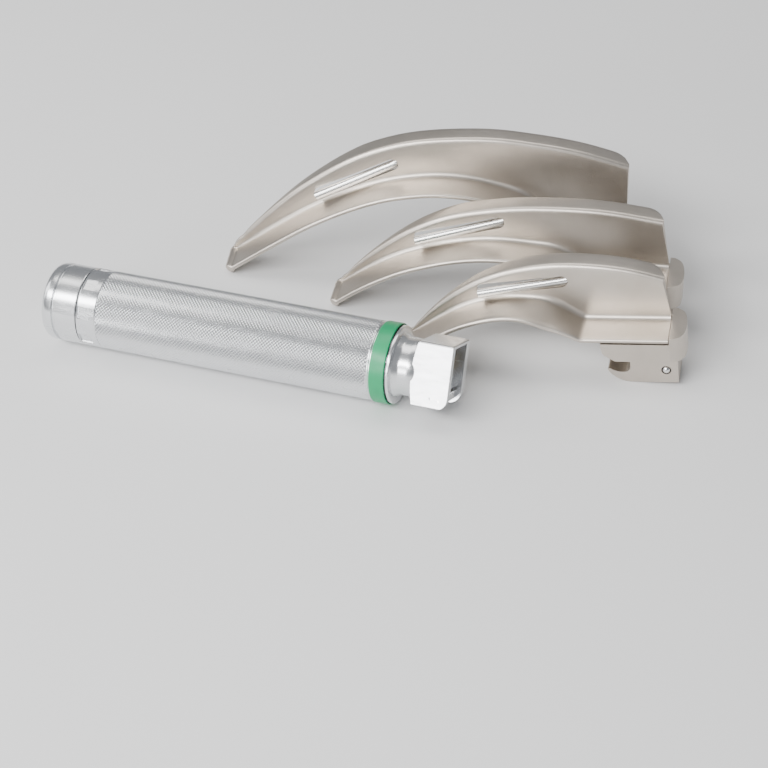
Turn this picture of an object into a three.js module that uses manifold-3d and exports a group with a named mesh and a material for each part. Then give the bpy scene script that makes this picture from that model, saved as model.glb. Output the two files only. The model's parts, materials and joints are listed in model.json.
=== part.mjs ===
// Laryngoscope set: a fibre-optic battery handle and three interchangeable curved (Macintosh) blades.
// Millimetres, +Z up. The handle lies along X and the blades stand behind it on their tips and heels.

import * as THREE from "three";
import { mergeVertices } from "three/addons/utils/BufferGeometryUtils.js";
import Module from "manifold-3d";

const GAP = 0.3; // clearance between neighbouring pieces
const TURNS = 40; // segments round the handle
const CURVE_STEPS = 30; // along a blade
const GUIDE_STEPS = 30; // along a light guide

// ---- handle, measured along its axis from the butt end ----
const HANDLE_R = 14.25;
const TUBE_BORE_R = 13.4;
const CAP_END = 14.2;
const TUBE_START = CAP_END + GAP;
const NOTCH_START = 15.2;
const NOTCH_LENGTH = 4.6;
const NOTCH_COUNT = 8;
const RING_START = 127.8;
const RING_END = 133.4;
const HEAD_RIM_END = 135;
const NECK_R = 10.5;
const HEAD_BASE = 141.7;
const HEAD_END = 155.7;

// ---- hook-on head: cheeks, slot and hinge pin ----
const HEAD_ROLL = 26; // degrees the head is turned about the handle's axis
const HEAD_HALF_HEIGHT = 11.5; // pin side to closed side
const HEAD_HALF_WIDTH = 9.6;
const SLOT_HALF_WIDTH = 6.5;
const SLOT_FLOOR = 145.5;
const SLOT_BACK = 10.3; // inner face of the wall that closes the slot
const PIN_R = 1.7;
const PIN_X = 152.6;
const PIN_DROP = 8.3; // pin axis below the handle's axis

// ---- lamp cartridge ----
const LAMP_BORE_R = 4.9;
const LAMP_R = 4.4;

// ---- two C cells ----
const CELL_R = 12.9;
const CELL_LENGTH = 48;
const CELL_START = [24.3, 74.1];

// ---- blades; each is drawn with its heel at x = 0 and its tip toward -x ----
const SHEET = 1.6; // web and flange
const SPATULA = 1.8;
const SPATULA_WIDTH = 13.5;
const FLANGE_WIDTH = 8.5;
const TIP_BEAD_R = 1.9;
const HEEL_END = -3.4; // where the spatula and web stop short of the heel block
const SPATULA_HEEL_Z = 19;
const TONGUE_TOP = 9.6;
const TONGUE_NEAR = -12;
const TONGUE_FAR = 0.7;
const TONGUE_MID = (TONGUE_NEAR + TONGUE_FAR) / 2;
const FRONT_CORNER = -17.3;
const HOOK_SEAT_X = -18.9; // where the hinge pin sits in the hook
const INLET_X = HOOK_SEAT_X + PIN_DROP; // opposite the lamp when the blade is hooked on
const GUIDE_R = 1.7;
const SLOT_MARGIN = 0.65;
const BALL_R = 1.5;
const BALL_X = -4.6;
const BALL_Z = 5.3;
const BALL_OUT = 0.8; // how far a detent ball stands out of the tongue

// Per blade: where the heel stands, how far the blade is turned in plan, the top of the spatula and
// the edge of the web from heel to tip, and the two ends of the light guide's visible stretch.
const BLADES = {
  small: {
    heel: [224.1, 48],
    turn: 9.1,
    spatula: [[-34, 19], [-39, 21.9], [-44, 24.4], [-50, 26.5], [-57, 27.6], [-64, 27.3],
      [-72, 25.5], [-80, 22.4], [-87, 18.6], [-94, 14.2], [-101, 9.8]],
    web: [[-5.2, 35.7], [-17.5, 39.1], [-31, 40.9], [-45, 41], [-59, 38.7], [-70, 34.9],
      [-80, 29.2], [-88, 22.9], [-94, 17], [-97.5, 13.1]],
    guide: [[-71.4, 30.2], [-41, 33.8]],
  },
  medium: {
    heel: [212.7, 80.3],
    turn: 10.7,
    spatula: [[-31.5, 19], [-36.7, 20.4], [-42.7, 22.5], [-50.7, 24.3], [-61.7, 25.1],
      [-72.7, 24.5], [-84.7, 22], [-98.7, 17.1], [-108.7, 12], [-117.7, 6.3], [-126.7, -0.4]],
    web: [[-6.6, 38.4], [-26.7, 40.5], [-43.7, 40.4], [-60.7, 39], [-77.7, 35.6], [-89.7, 31.4],
      [-101.7, 24.5], [-111.7, 16.5], [-119.7, 8.7], [-123.5, 4]],
    guide: [[-97, 22.9], [-65.9, 32]],
  },
  large: {
    heel: [188.8, 104],
    turn: 14.4,
    spatula: [[-29.6, 19], [-34.6, 21.6], [-39.6, 25], [-45.6, 28.2], [-53.6, 30.5], [-63.6, 31.9],
      [-74.6, 31.8], [-85.6, 29.9], [-96.6, 26.5], [-108.6, 20.8], [-122.6, 12.2], [-135.6, 2.4],
      [-152.7, -11.3]],
    web: [[-5.2, 43.9], [-23.6, 47.7], [-41.6, 49.3], [-59.6, 49.4], [-81.6, 46.2], [-97.6, 41],
      [-111.6, 33.2], [-126.6, 21.3], [-136.6, 11.2], [-144.6, 1.8], [-149.4, -4.6]],
    guide: [[-121.2, 18.6], [-92.5, 34]],
  },
};

const wasm = await Module();
wasm.setup();

// ---- building blocks ----

function solid(geometry) {
  const bare = new THREE.BufferGeometry();
  bare.setAttribute("position", geometry.attributes.position.clone());
  if (geometry.index) bare.setIndex(geometry.index.clone());
  const merged = mergeVertices(bare, 1e-5);
  return new wasm.Manifold(new wasm.Mesh({
    numProp: 3,
    vertProperties: new Float32Array(merged.attributes.position.array),
    triVerts: new Uint32Array(merged.index.array),
  }));
}

function fromSolid(manifold) {
  const mesh = manifold.getMesh();
  const geometry = new THREE.BufferGeometry();
  geometry.setAttribute("position", new THREE.BufferAttribute(mesh.vertProperties, 3));
  geometry.setIndex(new THREE.BufferAttribute(mesh.triVerts, 1));
  const flat = geometry.toNonIndexed();
  flat.computeVertexNormals();
  return flat;
}

function shapeOf(points) {
  return new THREE.Shape(points.map(([a, b]) => new THREE.Vector2(a, b)));
}

// A profile in XZ, extruded along Y from y0 to y1.
function sideways(points, y0, y1) {
  const geometry = new THREE.ExtrudeGeometry(shapeOf(points), { depth: y1 - y0, bevelEnabled: false });
  return geometry.rotateX(Math.PI / 2).translate(0, y1, 0);
}

// A plan outline in XY, extruded from z0 to z1.
function upright(points, z0, z1) {
  const geometry = new THREE.ExtrudeGeometry(shapeOf(points), { depth: z1 - z0, bevelEnabled: false });
  return geometry.translate(0, 0, z0);
}

// A box given by its lower and upper corners.
function block([x0, y0, z0], [x1, y1, z1]) {
  const box = new THREE.BoxGeometry(x1 - x0, y1 - y0, z1 - z0);
  return box.translate((x0 + x1) / 2, (y0 + y1) / 2, (z0 + z1) / 2);
}

// A turned profile of [x, radius] pairs round the X axis.
function turned(profile, segments = TURNS) {
  const points = profile.map(([x, r]) => new THREE.Vector2(r, x));
  return new THREE.LatheGeometry(points, segments).rotateZ(-Math.PI / 2);
}

// A turned tube: the profile is closed back onto its first point.
function turnedTube(profile, segments = TURNS) {
  return turned([...profile, profile[0]], segments);
}

function coil(x0, x1, radiusAt, wireR, loops) {
  const points = [];
  const steps = loops * 9;
  for (let i = 0; i <= steps; i += 1) {
    const t = i / steps;
    const angle = t * loops * 2 * Math.PI;
    const r = radiusAt(t);
    points.push(new THREE.Vector3(x0 + (x1 - x0) * t, r * Math.cos(angle), r * Math.sin(angle)));
  }
  return alongPath(points, wireR, steps, 3);
}

function alongPath(points, radius, steps, sides) {
  const section = new THREE.Shape();
  section.absarc(0, 0, radius, 0, 2 * Math.PI);
  return new THREE.ExtrudeGeometry(section, {
    extrudePath: new THREE.CatmullRomCurve3(points, false, "catmullrom", 0.5),
    steps,
    curveSegments: sides,
    bevelEnabled: false,
  });
}

function part(name, geometry, material) {
  const mesh = new THREE.Mesh(geometry, material.clone());
  mesh.name = name;
  mesh.material.name = name;
  return mesh;
}

const metal = (color, roughness) => new THREE.MeshStandardMaterial({ color, metalness: 1, roughness });
const plain = (color, roughness) => new THREE.MeshStandardMaterial({ color, metalness: 0, roughness });
const CHROME = metal(0xd4d6d8, 0.25);
const STEEL = metal(0xb9b1a4, 0.4);
const BRASS = metal(0xc9a25a, 0.35);
const GREEN = plain(0x0aaa6e, 0.4);
const RUBBER = plain(0x18181a, 0.8);
const NYLON = plain(0xe8e4d8, 0.5);
const GLASS = plain(0xdfe8ee, 0.1);
const JACKET = plain(0x2b4a78, 0.5);

// ---- handle ----

function buildTube() {
  const body = solid(turnedTube([
    [TUBE_START, TUBE_BORE_R], [TUBE_START, HANDLE_R - 0.4], [TUBE_START + 0.4, HANDLE_R],
    [RING_START - GAP, HANDLE_R], [RING_START - GAP, HANDLE_R - 0.4],
    [RING_END, HANDLE_R - 0.4], [RING_END, TUBE_BORE_R],
  ]));
  let tube = body;
  for (let i = 0; i < NOTCH_COUNT; i += 1) {
    const cut = block(
      [NOTCH_START, -2.1, HANDLE_R - 0.5],
      [NOTCH_START + NOTCH_LENGTH, 2.1, HANDLE_R + 1],
    );
    cut.rotateX(THREE.MathUtils.degToRad(1 + (i * 360) / NOTCH_COUNT));
    tube = tube.subtract(solid(cut));
  }
  return fromSolid(tube);
}

function buildCap() {
  const skirtR = TUBE_BORE_R - GAP;
  return turned([
    [0, 0], [0, 11.4], [0.6, 12.9], [1.8, 13.9], [3, HANDLE_R],
    [4.4, HANDLE_R], [4.6, HANDLE_R - 0.8], [5.6, HANDLE_R - 0.8], [5.8, HANDLE_R],
    [CAP_END - 0.3, HANDLE_R], [CAP_END, HANDLE_R - 0.3], [CAP_END, skirtR],
    [15.2, skirtR], [15.2, skirtR - 1.2], [17, skirtR - 1.2], [17, skirtR], [19.6, skirtR],
    [19.6, skirtR - 2.2], [9, skirtR - 2.2], [9, 8], [3.4, 8], [3.4, 0],
  ]);
}

function buildHead() {
  const turnedPart = solid(turned([
    [128, 0], [128, 10.6], [128.4, TUBE_BORE_R - GAP], [RING_END - 0.4, TUBE_BORE_R - GAP],
    [RING_END - 0.4, 11.7], [RING_END + GAP, 11.7], [RING_END + GAP, HANDLE_R - 0.3],
    [HEAD_RIM_END - 0.4, HANDLE_R - 0.3], [HEAD_RIM_END, HANDLE_R - 0.8], [HEAD_RIM_END, 11.6],
    [136, 11.2], [137, NECK_R], [141.4, NECK_R], [143.9, 9.2], [144.8, 9.2], [144.8, 0],
  ]));
  const cheekOutline = [
    [HEAD_END, HEAD_HALF_HEIGHT - 0.4], [HEAD_END - 0.4, HEAD_HALF_HEIGHT], [143.4, HEAD_HALF_HEIGHT],
    [142.5, 8], [141.9, 4], [HEAD_BASE, 0], [141.9, -4], [142.4, -8], [143.1, -HEAD_HALF_HEIGHT],
  ];
  const cornerR = 4.2;
  for (let i = 0; i <= 8; i += 1) {
    const a = (i / 8) * (Math.PI / 2);
    cheekOutline.push([
      HEAD_END - cornerR + cornerR * Math.sin(a),
      -HEAD_HALF_HEIGHT + cornerR - cornerR * Math.cos(a),
    ]);
  }
  const bore = turned([
    [124.4, 0], [124.4, LAMP_BORE_R], [141.7, LAMP_BORE_R], [142, LAMP_R - 0.1], [149.4, LAMP_R - 0.1],
    [149.4, 0],
  ], 36);
  const slot = block([SLOT_FLOOR, -SLOT_HALF_WIDTH, -20], [164.4, SLOT_HALF_WIDTH, SLOT_BACK]);
  const pinHole = new THREE.CylinderGeometry(PIN_R + GAP, PIN_R + GAP, 2 * HEAD_HALF_WIDTH + 2, 24);
  pinHole.translate(PIN_X, 0, -PIN_DROP);
  const dimple = new THREE.CylinderGeometry(0.6, 0.6, 1, 20).translate(149.7, -HEAD_HALF_WIDTH, -7.8);
  const bar = turned([[134.4, 0], [134.4, HANDLE_R + GAP], [164.4, HANDLE_R + GAP], [164.4, 0]], 96);
  const cheeks = solid(sideways(cheekOutline, -HEAD_HALF_WIDTH, HEAD_HALF_WIDTH)).intersect(solid(bar));
  let head = cheeks.add(turnedPart);
  for (const cut of [bore, slot, pinHole, dimple]) head = head.subtract(solid(cut));
  for (const side of [-1, 1]) {
    const seat = new THREE.SphereGeometry(BALL_R, 16, 10);
    const seatZ = -PIN_DROP + (BALL_X - HOOK_SEAT_X);
    const seatX = SLOT_FLOOR + GAP + BALL_Z;
    seat.translate(seatX, side * (SLOT_HALF_WIDTH - BALL_R + 0.6), seatZ);
    head = head.subtract(solid(seat));
  }
  return fromSolid(head);
}

function buildPin() {
  const half = HEAD_HALF_WIDTH - 0.1;
  const pin = turned([
    [-half, 0], [-half, PIN_R - 0.3], [-half + 0.3, PIN_R], [half - 0.3, PIN_R], [half, PIN_R - 0.3],
    [half, 0],
  ], 24);
  return pin.rotateZ(Math.PI / 2).translate(PIN_X, 0, -PIN_DROP);
}

function lampPieces() {
  const sleeve = turnedTube([
    [131.8, 1.7], [131.8, LAMP_R], [141, LAMP_R], [141.4, LAMP_R - 0.4], [146.8, LAMP_R - 0.4],
    [147.2, LAMP_R - 0.8], [147.2, 2.6], [136.4, 2.6], [136.4, 1.7],
  ], 32);
  const bulb = turned([
    [136.8, 0], [136.8, 2.2], [143.8, 2.2], [145.5, 1.9], [146.5, 1.1], [146.8, 0],
  ], 24);
  const contact = turned([
    [129.8, 0], [129.8, 0.9], [130.3, 1.35], [136.2, 1.35], [136.2, 0],
  ], 20);
  const insulator = turnedTube([
    [124.6, 2.3], [124.6, TUBE_BORE_R - GAP], [127.6, TUBE_BORE_R - GAP], [127.6, 2.3],
  ], 32);
  const stud = turned([
    [123.9, 0], [123.9, 4], [124.3, 4], [124.3, 2], [128, 2], [128.3, 1.7], [128.3, 0],
  ], 24);
  const spring = coil(128.25, 131.15, () => 3.5, 0.3, 3);
  return { sleeve, bulb, contact, insulator, stud, spring };
}

function buildCell(start) {
  const end = start + CELL_LENGTH;
  const can = turned([
    [start, 0], [start, CELL_R - 1], [start + 0.6, CELL_R], [end - 0.8, CELL_R], [end, CELL_R - 0.8],
    [end, 4.3], [end - 0.8, 4.3], [end - 0.8, 0],
  ], 36);
  const terminal = turned([
    [end - 0.5, 0], [end - 0.5, 3.9], [end + 0.3, 3.9], [end + 0.3, 3.2], [end + 1.2, 3.1],
    [end + 1.5, 2.7], [end + 1.5, 0],
  ], 24);
  return { can, terminal };
}

function buildHandle() {
  const group = new THREE.Group();
  const lamp = lampPieces();
  const seal = (x, r, wire) => turnedTube(Array.from({ length: 8 }, (_, i) => {
    const a = (i / 8) * 2 * Math.PI;
    return [x + wire * Math.sin(a), r + wire * Math.cos(a)];
  }), 32);
  group.add(
    part("handle_tube", buildTube(), CHROME),
    part("end_cap", buildCap(), CHROME),
    part("cap_seal", seal(16.1, TUBE_BORE_R - GAP - 0.5, 0.4), RUBBER),
    part("battery_spring", coil(4.2, 23.5, (t) => 7 - 2.4 * t, 0.5, 6), STEEL),
    part("colour_ring", turnedTube([
      [RING_START, HANDLE_R - 0.1], [RING_START, HANDLE_R + 0.15], [RING_START + 0.2, HANDLE_R + 0.3],
      [RING_END - 0.2, HANDLE_R + 0.3], [RING_END, HANDLE_R + 0.15], [RING_END, HANDLE_R - 0.1],
    ]), GREEN),
    part("head_fitting", buildHead(), CHROME),
    part("hinge_pin", buildPin(), STEEL),
    part("lamp_sleeve", lamp.sleeve, BRASS),
    part("lamp_bulb", lamp.bulb, GLASS),
    part("lamp_contact", lamp.contact, BRASS),
    part("lamp_spring", lamp.spring, STEEL),
    part("contact_insulator", lamp.insulator, NYLON),
    part("contact_stud", lamp.stud, BRASS),
  );
  ["lower", "upper"].forEach((which, i) => {
    const cell = buildCell(CELL_START[i]);
    group.add(
      part(`cell_${which}_can`, cell.can, JACKET),
      part(`cell_${which}_terminal`, cell.terminal, STEEL),
    );
  });
  for (const mesh of group.children) {
    mesh.geometry.rotateX(THREE.MathUtils.degToRad(-HEAD_ROLL)).translate(0, 0, HANDLE_R + 0.3);
  }
  return group;
}

// ---- blades ----

function curveThrough(points, count) {
  return new THREE.SplineCurve(points.map(([x, z]) => new THREE.Vector2(x, z))).getPoints(count);
}

function spatulaTop(spec) {
  const bend = curveThrough(spec.spatula, CURVE_STEPS).map((p) => [p.x, p.y]);
  return [[HEEL_END, SPATULA_HEEL_Z], ...bend];
}

// The same line moved square to itself by a distance, downward when the distance is positive.
function offsetLine(line, distance) {
  return line.map(([x, z], i) => {
    const [ax, az] = line[Math.max(0, i - 1)];
    const [bx, bz] = line[Math.min(line.length - 1, i + 1)];
    const length = Math.hypot(bx - ax, bz - az);
    return [x - ((bz - az) / length) * distance, z + ((bx - ax) / length) * distance];
  });
}

function buildBladeSheet(spec) {
  const top = spatulaTop(spec);
  const tip = spec.spatula[spec.spatula.length - 1];
  const under = offsetLine(top, SPATULA);
  const edge = curveThrough(spec.web, CURVE_STEPS).map((p) => [p.x, p.y]);
  const tipX = tip[0];
  const plan = [[HEEL_END + 1, -SPATULA_WIDTH], [HEEL_END + 1, SHEET], [tipX + 4, SHEET], [tipX + 1.2, 1],
    [tipX, -0.2], [tipX, 1.8 - SPATULA_WIDTH], [tipX + 1.2, 0.6 - SPATULA_WIDTH], [tipX + 4, -SPATULA_WIDTH]];
  const spatula = solid(sideways([...top, ...under.reverse()], -SPATULA_WIDTH, SHEET))
    .intersect(solid(upright(plan, -60, 80)));
  const web = solid(sideways([
    ...edge, ...top.filter(([x]) => x > edge[edge.length - 1][0]).reverse().map(([x, z]) => [x, z - 0.9]),
  ], 0, SHEET));
  const flangeUnder = offsetLine(edge, SHEET).reverse();
  const first = edge[0][0];
  const last = edge[edge.length - 1][0];
  const flangePlan = [
    [first, 0], [first, 2.6], [first - 0.9, 5], [first - 2.6, 7.2], [first - 5.4, FLANGE_WIDTH],
    [last + 44, FLANGE_WIDTH], [last + 28, 6.4], [last + 14, 3.6], [last + 4, SHEET], [last, SHEET],
    [last, 0],
  ];
  const flange = solid(sideways([...edge, ...flangeUnder], 0, FLANGE_WIDTH + 1))
    .intersect(solid(upright(flangePlan, -60, 80)));
  const beadHalf = SPATULA_WIDTH / 2 - 2.6;
  const bead = turned([
    [-beadHalf - TIP_BEAD_R, 0], [-beadHalf - TIP_BEAD_R * 0.7, TIP_BEAD_R * 0.7], [-beadHalf, TIP_BEAD_R],
    [beadHalf, TIP_BEAD_R], [beadHalf + TIP_BEAD_R * 0.7, TIP_BEAD_R * 0.7], [beadHalf + TIP_BEAD_R, 0],
  ], 24).rotateZ(Math.PI / 2).translate(tipX, -SPATULA_WIDTH / 2 + SHEET / 2, tip[1] - SPATULA / 2);
  const guideRoom = solid(alongPath(guidePath(spec), GUIDE_R + GAP, GUIDE_STEPS, 5));
  const sheet = spatula.add(web).add(flange).add(solid(bead));
  return fromSolid(sheet.subtract(solid(guideSlot(spec))).subtract(guideRoom));
}

// The rounded slot in the web through which the light guide comes to the front.
function guideSlot(spec) {
  const [[x0, z0], [x1, z1]] = spec.guide;
  const angle = Math.atan2(z1 - z0, x1 - x0);
  const r = GUIDE_R + SLOT_MARGIN;
  const outline = [];
  for (const [cx, cz, from] of [[x1 - 0.6, z1, -90], [x0 + 1.6, z0, 90]]) {
    for (let i = 0; i <= 8; i += 1) {
      const a = angle + THREE.MathUtils.degToRad(from + (i * 180) / 8);
      outline.push([cx + r * Math.cos(a), cz + r * Math.sin(a)]);
    }
  }
  return sideways(outline, -1, SHEET + 1);
}

function guidePath(spec) {
  const [[x0, z0], [x1, z1]] = spec.guide;
  const front = -GUIDE_R - GAP;
  const behind = SHEET + GAP + GUIDE_R;
  const slope = (z1 - z0) / (x1 - x0);
  return [
    [x0, front, z0],
    [(x0 + x1) / 2, (front + GUIDE_R) / 2, (z0 + z1) / 2],
    [x1, GUIDE_R, z1],
    [x1 + 8, behind - 0.4, z1 + slope * 6],
    [-23, behind, 28],
    [-18.5, behind, 21.5],
    [-16.5, 2.6, 16.5],
    [-13.2, -2.2, 11.2],
    [-10.9, -5.3, 6.6],
    [INLET_X, TONGUE_MID, 3.2],
    [INLET_X, TONGUE_MID, 0.9],
  ].map((p) => new THREE.Vector3(...p));
}

function buildHeelBlock(spec) {
  const upperTop = SPATULA_HEEL_Z - SPATULA - GAP;
  const upperSide = [
    [2.6, TONGUE_TOP], [2.6, upperTop], [-27.2, upperTop],
    [-26.7, 12.8], [-25.2, 11.6], [-22.3, TONGUE_TOP],
  ];
  const roundedEnd = [[-3, -13.4], [0, -12.2], [1.9, -9.6], [2.5, -5], [2.2, 0], [1, 4], [-1.5, 6.2]];
  const plan = [[-30, -13.4], ...roundedEnd, [-30, 6.2]];
  const upper = solid(sideways(upperSide, -14, 7)).intersect(solid(upright(plan, 0, 30)));
  const wallPlan = [[HEEL_END + GAP, -12.9], ...roundedEnd, [HEEL_END + GAP, 6.2]];
  const wall = solid(upright(wallPlan, 12, SPATULA_HEEL_Z + 0.4));
  const tongueSide = [
    [-0.4, 0], [-0.4, TONGUE_TOP + 1], [-17.2, TONGUE_TOP + 1], [-17.2, 6.2], [-17.8, 4.9],
    [-18.9, 4.3], [-21.5, 4.3], [-24.4, 5.6], [-25.3, 5.2], [-23.4, 2.6], [-20.5, 0.8],
    [FRONT_CORNER, 0],
  ];
  const tongue = solid(sideways(tongueSide, TONGUE_NEAR, TONGUE_FAR));
  const ballBore = new THREE.CylinderGeometry(BALL_R + 0.25, BALL_R + 0.25, 30, 20);
  ballBore.translate(BALL_X, 0, BALL_Z);
  const guideBore = alongPath(guidePath(spec), GUIDE_R + GAP, GUIDE_STEPS, 5);
  const inletBore = new THREE.CylinderGeometry(2.8, 2.8, 3, 24).rotateX(Math.PI / 2);
  inletBore.translate(INLET_X, TONGUE_MID, -0.2);
  let heel = upper.add(wall).add(tongue);
  for (const cut of [ballBore, guideBore, inletBore]) heel = heel.subtract(solid(cut));
  return fromSolid(heel);
}

function buildInlet() {
  return turnedTube([[0.1, 1.9], [0.1, 2.5], [0.9, 2.5], [0.9, 1.9]], 32)
    .rotateY(-Math.PI / 2).translate(INLET_X, TONGUE_MID, 0);
}

// How far the blade leans when its tip and the underside of its heel block both touch the ground.
function restingTilt(spec) {
  const [x, topZ] = spec.spatula[spec.spatula.length - 1];
  const z = topZ - SPATULA / 2;
  const corner = z > TIP_BEAD_R ? FRONT_CORNER : -0.4;
  const reach = Math.hypot(corner - x, z);
  return { corner, angle: Math.atan2(z, corner - x) - Math.asin(TIP_BEAD_R / reach) };
}

function buildBlade(size, spec) {
  const group = new THREE.Group();
  const ballLow = TONGUE_NEAR + BALL_R - BALL_OUT;
  const ballHigh = TONGUE_FAR - BALL_R + BALL_OUT;
  const ball = (y) => new THREE.SphereGeometry(BALL_R, 14, 9).translate(BALL_X, y, BALL_Z);
  const springFrom = ballLow + BALL_R + GAP;
  const springTo = ballHigh - BALL_R - GAP;
  const spring = coil(springFrom, springTo, () => 1, 0.22, 4);
  spring.rotateZ(Math.PI / 2).translate(BALL_X, 0, BALL_Z);
  const guide = alongPath(guidePath(spec), GUIDE_R, GUIDE_STEPS, 5);
  group.add(
    part(`blade_${size}`, buildBladeSheet(spec), STEEL),
    part(`heel_block_${size}`, buildHeelBlock(spec), STEEL),
    part(`light_guide_${size}`, guide, CHROME),
    part(`guide_inlet_${size}`, buildInlet(), BRASS),
    part(`ball_near_${size}`, ball(ballLow), CHROME),
    part(`ball_far_${size}`, ball(ballHigh), CHROME),
    part(`ball_spring_${size}`, spring, STEEL),
  );
  const { corner, angle } = restingTilt(spec);
  for (const mesh of group.children) {
    mesh.geometry.translate(-corner, 0, 0).rotateY(-angle).translate(corner, 0, 0);
    mesh.geometry.rotateZ(THREE.MathUtils.degToRad(spec.turn)).translate(spec.heel[0], spec.heel[1], 0);
  }
  return group;
}

// ---- assembly, centred over the origin ----

const laryngoscope = new THREE.Group();
laryngoscope.name = "laryngoscope";
const groups = [buildHandle(), ...Object.entries(BLADES).map(([size, spec]) => buildBlade(size, spec))];
for (const group of groups) laryngoscope.add(...group.children.slice());
const bounds = new THREE.Box3().setFromObject(laryngoscope);
const centre = bounds.getCenter(new THREE.Vector3());
for (const mesh of laryngoscope.children) mesh.geometry.translate(-centre.x, -centre.y, -bounds.min.z);

export default laryngoscope;
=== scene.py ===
"""Laryngoscope set: battery handle and three curved blades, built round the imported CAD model."""

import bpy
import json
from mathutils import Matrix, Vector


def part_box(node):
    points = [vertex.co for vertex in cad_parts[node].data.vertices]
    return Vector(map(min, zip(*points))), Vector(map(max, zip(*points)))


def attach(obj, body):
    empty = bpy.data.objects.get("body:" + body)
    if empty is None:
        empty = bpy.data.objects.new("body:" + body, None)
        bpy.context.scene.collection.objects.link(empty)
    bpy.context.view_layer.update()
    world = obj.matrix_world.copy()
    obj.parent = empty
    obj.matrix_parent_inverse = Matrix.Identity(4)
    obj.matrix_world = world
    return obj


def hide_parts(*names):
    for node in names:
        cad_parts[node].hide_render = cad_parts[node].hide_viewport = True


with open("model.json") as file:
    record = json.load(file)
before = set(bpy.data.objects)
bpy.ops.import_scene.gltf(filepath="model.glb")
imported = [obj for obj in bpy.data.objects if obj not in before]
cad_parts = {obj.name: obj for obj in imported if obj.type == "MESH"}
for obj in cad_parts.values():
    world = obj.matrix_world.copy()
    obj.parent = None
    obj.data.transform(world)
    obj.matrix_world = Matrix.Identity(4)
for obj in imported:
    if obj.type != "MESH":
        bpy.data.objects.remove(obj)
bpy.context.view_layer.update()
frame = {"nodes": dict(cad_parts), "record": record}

import json
import math

import bmesh
import bpy
from mathutils import Matrix, Vector

MM = 0.001
DEG = math.pi / 180

# Lengths below are in millimetres and angles in degrees, unless a comment says otherwise.

# ---- where things are: the butt end of the handle and its axis, in the shared frame ----
CAP_LOW, CAP_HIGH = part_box("end_cap")
TUBE_LOW, TUBE_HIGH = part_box("handle_tube")
BUTT_X = CAP_LOW.x / MM
AXIS_Y = (TUBE_LOW.y + TUBE_HIGH.y) / 2 / MM
AXIS_Z = (TUBE_LOW.z + TUBE_HIGH.z) / 2 / MM

# ---- handle ----
HANDLE_R = 14.25
BORE_R = 13.4
CAP_END = 14.2
COLLAR_START = 14.5
NOTCH_START = 15.2
NOTCH_END = 19.8
NOTCH_HALF_WIDTH = 2.1
NOTCH_COUNT = 8
NOTCH_TURN = 1
NOTCH_DEPTH = 0.55
NOTCH_EDGE = 0.012  # radians round the tube from a notch's floor to its rim
KNURL_START = 22.3
KNURL_END = 126.4
KNURL_AROUND = 132
KNURL_ALONG = 164
KNURL_DEPTH = 0.26
SHOULDER = 0.3  # the eased ends of the knurling
SHOULDER_DROP = 0.22
RING_START = 127.8
RING_END = 133.4
NECK_R = 10.5
NECK_START = 134.4
HEAD_BASE = 141.7
HEAD_END = 155.7
PAST_HEAD = 164.4  # where cutters end, clear of the head
HEAD_ROLL = 26
HEAD_HALF_HEIGHT = 11.5
HEAD_HALF_WIDTH = 9.6
SLOT_HALF_WIDTH = 6.5
SLOT_FLOOR = 145.5
SLOT_BACK = 10.3
PIN_R = 1.7
PIN_X = 152.6
PIN_DROP = 8.3
SEAT_RISE = 14.3  # from the pin up to the two ball seats
LAMP_BORE_R = 4.9
LAMP_LIP_R = 4.3

# ---- blades, each drawn with its heel at x = 0 and its tip toward -x ----
SHEET = 1.6
SPATULA = 1.8
SPATULA_WIDTH = 13.5
FLANGE_WIDTH = 8.5
TIP_R = 1.9
TIP_CORNER = 4.0
HEEL_END = -3.4
SPATULA_HEEL_Z = 19
TONGUE_TOP = 9.6
TONGUE_NEAR = -12
TONGUE_FAR = 0.7
TONGUE_MID = (TONGUE_NEAR + TONGUE_FAR) / 2
FRONT_CORNER = -17.3
BACK_CORNER = -0.4
INLET_X = -10.6
GUIDE_R = 1.7
GUIDE_CLEARANCE = 0.3
SLOT_MARGIN = 0.65
SLOT_RISE = 0.4
BALL_R = 1.5
BALL_X = -4.6
BALL_Z = 5.3
BALL_OUT = 0.8
BALL_CLEARANCE = 0.25
FULL_HEIGHT = 5.2  # the web height below which its bends are drawn smaller
WEB_STATIONS = 104
TIP_STATIONS = 22
GUIDE_STATIONS = 120

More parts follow.
